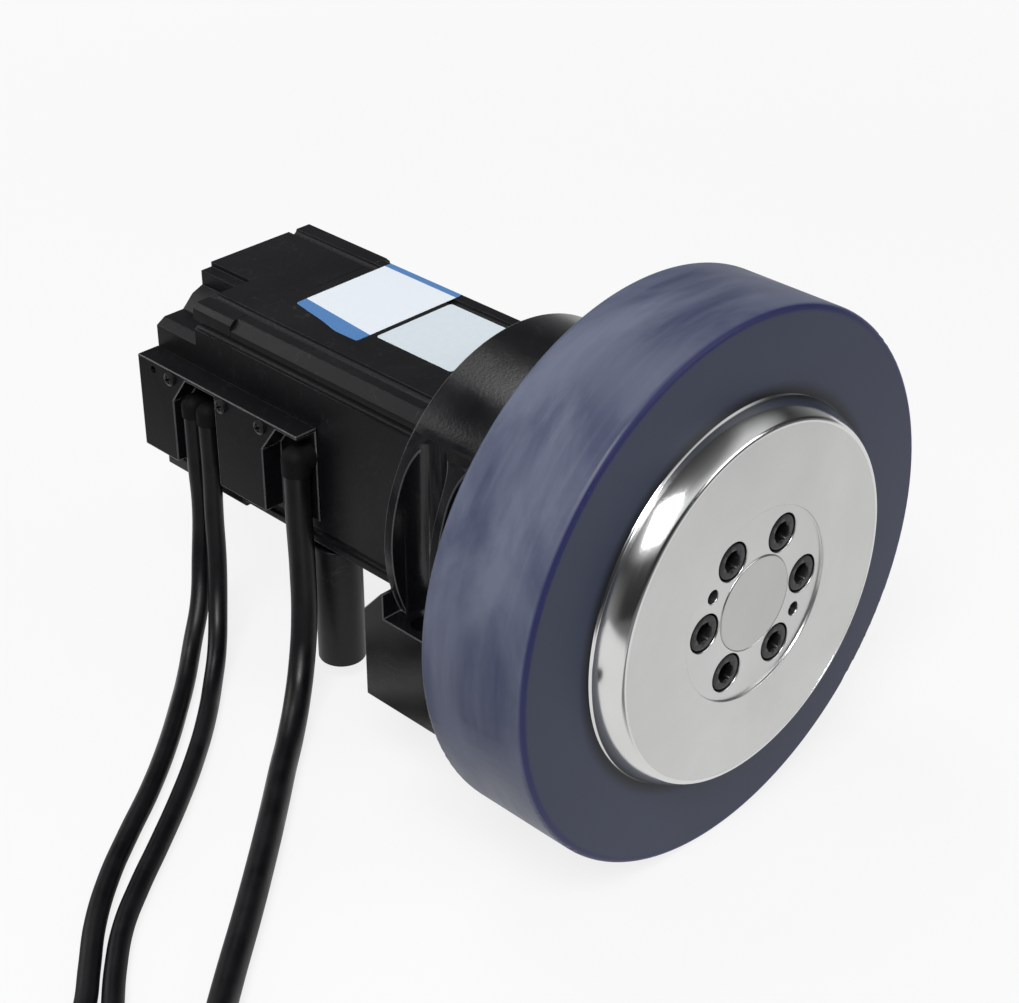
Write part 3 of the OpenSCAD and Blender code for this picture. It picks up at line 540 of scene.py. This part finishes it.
for lead, (start, thick, length, steps) in leads.items():
    curve = bpy.data.curves.new(lead + "_lead", "CURVE")
    curve.dimensions = "3D"
    curve.bevel_depth = thick / 2
    curve.bevel_resolution = 8
    curve.resolution_u = 10
    curve.use_fill_caps = True
    spline = curve.splines.new("BEZIER")
    spline.bezier_points.add(len(steps) - 1)
    for point, (dx, dy, dz) in zip(spline.bezier_points, steps):
        point.co = (start[0] + dx / 1000, start[1] + dy / 1000, floor_z + dz / 1000)
        point.handle_left_type = point.handle_right_type = "AUTO"
    curve.materials.append(jacket)
    piece = placed(lead + "_lead", curve)
    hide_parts(lead + "_cable")
    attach(piece, "frame")
    plug = softened(lead + "_plug", 0.0012, 3)
    fitted(plug, lead + "_plug", moulded)

# Output flange and wheel hub: turned steel and plated aluminium. The hub's face is satin from the lathe. Its
# polished rim is a ring of its own over the rounded edge: a tight corner, a bulged side and a lip at the tyre.


def turning_group():
    """Fine rings left by a lathe round the axle."""
    g = bpy.data.node_groups.new("turning", "ShaderNodeTree")
    g.interface.new_socket("Vector", in_out="INPUT", socket_type="NodeSocketVector")
    g.interface.new_socket("Rings", in_out="INPUT", socket_type="NodeSocketFloat").default_value = 3000.0
    for name in ("Radius", "Marks"):
        g.interface.new_socket(name, in_out="OUTPUT", socket_type="NodeSocketFloat")
    enter = add(g, "NodeGroupInput").outputs
    flat = add(g, "ShaderNodeVectorMath", enter["Vector"], (1, 0, 1), settings={"operation": "MULTIPLY"})
    radius = add(g, "ShaderNodeVectorMath", flat.outputs[0], settings={"operation": "LENGTH"}).outputs["Value"]
    row = calc(g, "MULTIPLY", radius, enter["Rings"])
    marks = add(g, "ShaderNodeTexNoise", settings={"noise_dimensions": "1D"}, W=row, Scale=1.0, Detail=3.0)
    add(g, "NodeGroupOutput", radius, marks.outputs["Fac"])
    return g


turning = turning_group()
AXLE = 0.0635


def turned(t, spot, rings):
    """Radius from the axle, and the lathe's marks there."""
    centred = add(t, "ShaderNodeMapping", Vector=spot, Location=(0, 0, -AXLE))
    return add(t, "ShaderNodeGroup", settings={"node_tree": turning}, Vector=centred.outputs[0], Rings=rings).outputs


def turned_metal(name, colour, rough, outer_rough=None, outer_from=0.0):
    """Bare turned metal, with another roughness beyond a radius where one is given."""
    m, t, shader, spot = finish_of(name)
    lathe = turned(t, spot, 2600.0)
    s = skinned(t, spot, 1800.0, 16.0, 12.0)
    darker = tuple(c * 0.9 for c in colour)
    t.links.new(blended(t, s["Smear"], (*colour, 1), (*darker, 1)), shader.inputs["Base Color"])
    shader.inputs["Metallic"].default_value = 1.0
    if outer_rough is not None:
        rough = ranged(t, lathe["Radius"], outer_from, outer_from + 0.001, rough, outer_rough)
    uneven = calc(t, "MULTIPLY", lathe["Marks"], 0.06)
    t.links.new(calc(t, "ADD", rough, uneven), shader.inputs["Roughness"])
    bumped(t, shader, lathe["Marks"], 0.000004)
    return m


hub_metal = turned_metal("turned_hub", (0.66, 0.66, 0.65), 0.26)
rim_metal = turned_metal("polished_rim", (0.76, 0.76, 0.75), 0.11)
spigot_metal = turned_metal("turned_spigot", (0.56, 0.56, 0.55), 0.26, 0.2, 0.03)
fitted(softened("output_flange", 0.0009, 3), "output_flange", spigot_metal)
hub_low, hub_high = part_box("wheel_hub")
hub_r = (hub_high.x - hub_low.x) / 2
inner_r = hub_r - 0.0056
corner_r, corner_turn, corner_share = 0.002, math.radians(55), 0.4
flank_r, flank_turn = 0.0237, math.radians(78)


def rim_at(f, face_y):
    """Radius and y along the rim, from the face (0) round the corner and down its bulged side to the lip (1)."""
    turn = corner_turn * min(1, f / corner_share)
    r = inner_r + corner_r * math.sin(turn)
    y = face_y + corner_r * (1 - math.cos(turn))
    if f > corner_share:
        turn += (flank_turn - corner_turn) * (f - corner_share) / (1 - corner_share)
        r += flank_r * (math.sin(turn) - math.sin(corner_turn))
        y += flank_r * (math.cos(corner_turn) - math.cos(turn))
    return r, y


cad_round, under_rim, close = 0.005, 0.0004, 0.00002
hub = softened("wheel_hub", 0.0004)
for point in hub.data.vertices:
    out = math.hypot(point.co.x, point.co.z - AXLE)
    outward = out - (hub_r - cad_round)
    ahead = hub_low.y + cad_round - point.co.y
    if outward > -close and ahead > -close:
        f = math.atan2(max(outward, 0), max(ahead, 0)) / (math.pi / 2)
        r, y = rim_at(f, hub_low.y)
        sink = under_rim * min(1, f * 4)
        scale = (r - sink) / out
        point.co.x *= scale
        point.co.z = AXLE + (point.co.z - AXLE) * scale
        point.co.y = y + sink
fitted(hub, "wheel_hub", hub_metal)


def lathed(name, loop, n=200):
    """A solid ring turned about the axle from a closed loop of (radius, y) pairs."""
    bm = bmesh.new()
    angles = [2 * math.pi * i / n for i in range(n)]
    rows = [[bm.verts.new((r * math.cos(a), y, AXLE + r * math.sin(a))) for a in angles] for r, y in loop]
    for row, following in zip(rows, rows[1:] + rows[:1]):
        for i in range(n):
            bm.faces.new((row[i], row[(i + 1) % n], following[(i + 1) % n], following[i]))
    bmesh.ops.recalc_face_normals(bm, faces=bm.faces)
    mesh = bpy.data.meshes.new(name)
    bm.to_mesh(mesh)
    bm.free()
    mesh.polygons.foreach_set("use_smooth", [True] * len(mesh.polygons))
    mesh.set_sharp_from_angle(angle=math.radians(35))
    return placed(name, mesh)


proud = 0.00003
lip_h, lip_w, rim_steps = 0.0007, 0.0005, 40
face_y, seat_y = hub_low.y - proud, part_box("tyre")[0].y - proud
rim_line = [(inner_r - 0.0004, face_y + 0.0002), (inner_r - 0.0003, face_y)]
rim_line += [rim_at(k / rim_steps, face_y) for k in range(rim_steps + 1)]
neck_r, neck_y = rim_line[-1]
rim_line += [(neck_r + lip_w * 0.3, neck_y + lip_h * 0.25), (neck_r + lip_w * 0.75, neck_y + lip_h * 0.65),
             (neck_r + lip_w, seat_y), (hub_r - 0.001, seat_y)]
rim = lathed("hub_rim", rim_line)
rim.data.materials.append(rim_metal)
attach(rim, nodes["wheel_hub"]["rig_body"])

# Tyre: polyurethane cast on the hub, dark blue and smooth on its faces, with a dusty worn tread. Its face is painted
# darker in a ring next to the hub, as painted shade.
pu, t, shader, spot = finish_of("cast_polyurethane")
radius = turned(t, spot, 900.0)["Radius"]
long_way = add(t, "ShaderNodeMapping", Vector=spot, Scale=(13, 26, 13))
patch = add(t, "ShaderNodeTexNoise", Vector=long_way.outputs[0], Scale=1.0, Detail=7.0, Roughness=0.58,
            Distortion=1.1).outputs["Fac"]
streak_way = add(t, "ShaderNodeMapping", Vector=spot, Scale=(14, 420, 14))
streak = add(t, "ShaderNodeTexNoise", Vector=streak_way.outputs[0], Scale=1.0, Detail=3.0)
streaks = ranged(t, streak.outputs["Fac"], 0.5, 0.75, 0.0, 0.22)
film = calc(t, "ADD", ranged(t, patch, 0.36, 0.66), streaks, clamp=True)
tread_colour = blended(t, film, (0.048, 0.056, 0.104, 1), (0.112, 0.125, 0.18, 1))
face_cloud = add(t, "ShaderNodeTexNoise", Vector=spot, Scale=14.0, Detail=3.0)
face_colour = blended(t, face_cloud.outputs["Fac"], (0.024, 0.031, 0.058, 1), (0.032, 0.04, 0.071, 1))
# Painted shade: the tyre's face is darkened in a ring next to the hub, where the hub shades it.
painted_shade_by_hub = ranged(t, radius, 0.0706, 0.0745)
on_edge = ranged(t, radius, 0.0968, 0.0982)
on_tread = ranged(t, radius, 0.0993, 0.09985)
face_with_painted_hub_shade = blended(t, painted_shade_by_hub, (0.006, 0.007, 0.012, 1), face_colour)
to_edge = blended(t, on_edge, face_with_painted_hub_shade, (0.016, 0.018, 0.075, 1))
t.links.new(blended(t, on_tread, to_edge, tread_colour), shader.inputs["Base Color"])
rough = add(t, "ShaderNodeMix", on_tread, settings={"data_type": "FLOAT"})
rough.inputs[2].default_value = 0.46
t.links.new(ranged(t, film, 0.0, 1.0, 0.34, 0.6), rough.inputs[3])
t.links.new(rough.outputs[0], shader.inputs["Roughness"])
shader.inputs["Specular IOR Level"].default_value = 0.3
bumped(t, shader, patch, 0.0001)
fitted(softened("tyre", 0.0008), "tyre", pu)

# Hub screws: six blackened socket heads sunk in the hub round the spigot.


def socket_head(name, radius, height, hexagon, socket_depth, material):
    """A lathe-turned head with a broken edge and a six-sided socket, its face at the origin towards -Y."""
    n, edge, mouth, mouth_depth, tip_depth = 48, 0.0006, 0.0006, 0.0004, 0.0012
    bm = bmesh.new()

    def ring(r, y, six=False):
        row = []
        for i in range(n):
            a = 2 * math.pi * i / n
            k = r / math.cos((a % (math.pi / 3)) - math.pi / 6) if six else r
            row.append(bm.verts.new((k * math.cos(a), y, k * math.sin(a))))
        return row

    rows = [ring(radius, height), ring(radius, edge), ring(radius - edge * 0.35, edge * 0.3), ring(radius - edge, 0),
            ring(hexagon + mouth, 0), ring(hexagon, mouth_depth, True), ring(hexagon, socket_depth, True)]
    for a, b in zip(rows, rows[1:]):
        for i in range(n):
            bm.faces.new((a[i], a[(i + 1) % n], b[(i + 1) % n], b[i]))
    tip = bm.verts.new((0, socket_depth + tip_depth, 0))
    for i in range(n):
        bm.faces.new((rows[-1][i], rows[-1][(i + 1) % n], tip))
    bm.faces.new(rows[0])
    bmesh.ops.recalc_face_normals(bm, faces=bm.faces)
    mesh = bpy.data.meshes.new(name)
    bm.to_mesh(mesh)
    bm.free()
    mesh.polygons.foreach_set("use_smooth", [True] * len(mesh.polygons))
    mesh.set_sharp_from_angle(angle=math.radians(35))
    mesh.materials.append(material)
    return placed(name, mesh)


def circle_tree(head):
    """The head set round a circle about the axle."""
    g = bpy.data.node_groups.new("screw_circle", "GeometryNodeTree")
    g.interface.new_socket("Geometry", in_out="INPUT", socket_type="NodeSocketGeometry")
    g.interface.new_socket("Circle Radius", in_out="INPUT", socket_type="NodeSocketFloat")
    g.interface.new_socket("Count", in_out="INPUT", socket_type="NodeSocketInt")
    g.interface.new_socket("Finish", in_out="INPUT", socket_type="NodeSocketMaterial")
    g.interface.new_socket("Geometry", in_out="OUTPUT", socket_type="NodeSocketGeometry")
    enter = add(g, "NodeGroupInput").outputs
    spots = add(g, "GeometryNodeMeshCircle", enter["Count"], enter["Circle Radius"])
    upright = add(g, "GeometryNodeTransform", Geometry=spots.outputs[0], Rotation=(math.radians(90), 0, 0))
    part = add(g, "GeometryNodeObjectInfo", head)
    each = add(g, "GeometryNodeInstanceOnPoints", Points=upright.outputs[0], Instance=part.outputs["Geometry"])
    origin = add(g, "GeometryNodeInstanceOnPoints", Points=enter["Geometry"], Instance=each.outputs[0])
    real = add(g, "GeometryNodeRealizeInstances", origin.outputs[0])
    done = add(g, "GeometryNodeSetMaterial", Geometry=real.outputs[0], Material=enter["Finish"])
    add(g, "NodeGroupOutput", done.outputs[0])
    return g


head = socket_head("hub_screw_head", radius=0.0065, height=0.008, hexagon=0.0033, socket_depth=0.004,
                   material=blackened)
hub_heads = grown("hub_heads", [(0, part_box("hub_screws")[0].y, AXLE)], circle_tree(head),
                  {"Circle Radius": 0.025, "Count": 6, "Finish": blackened})
bpy.data.objects.remove(head)
fitted(hub_heads, "hub_screws", blackened)
